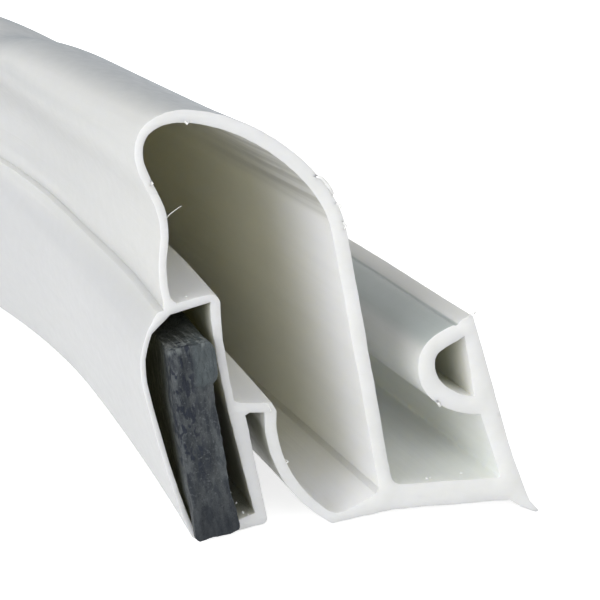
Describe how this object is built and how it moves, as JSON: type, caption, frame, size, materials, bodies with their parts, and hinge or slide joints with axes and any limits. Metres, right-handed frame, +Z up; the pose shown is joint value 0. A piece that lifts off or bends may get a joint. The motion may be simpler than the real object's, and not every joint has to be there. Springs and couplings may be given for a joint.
{
  "type": "refrigerator door gasket",
  "caption": "Cut length of hollow flexible door seal with bubble, magnet pocket, retaining channel and lip, bent along a gentle curve, with its magnet strip in the pocket.",
  "frame": {"origin": "on the seat's flat underside, below the middle of the retaining channel, 10 mm behind the near cut end", "axes": "+Z up through the section, the near cut end faces -Y and the run leads off along +Y, +X across the strip from the pocket towards the lip"},
  "size_m": [0.0678, 0.0962, 0.02],
  "materials": {
    "soft_pvc": "smooth white flexible PVC with a soft satin gloss",
    "bonded_ferrite": "dark grey bonded ferrite, dull and roughly cut"
  },
  "bodies": {
    "root": {"gasket_profile": "soft_pvc", "magnet_strip": "bonded_ferrite"}
  },
  "joints": []
}
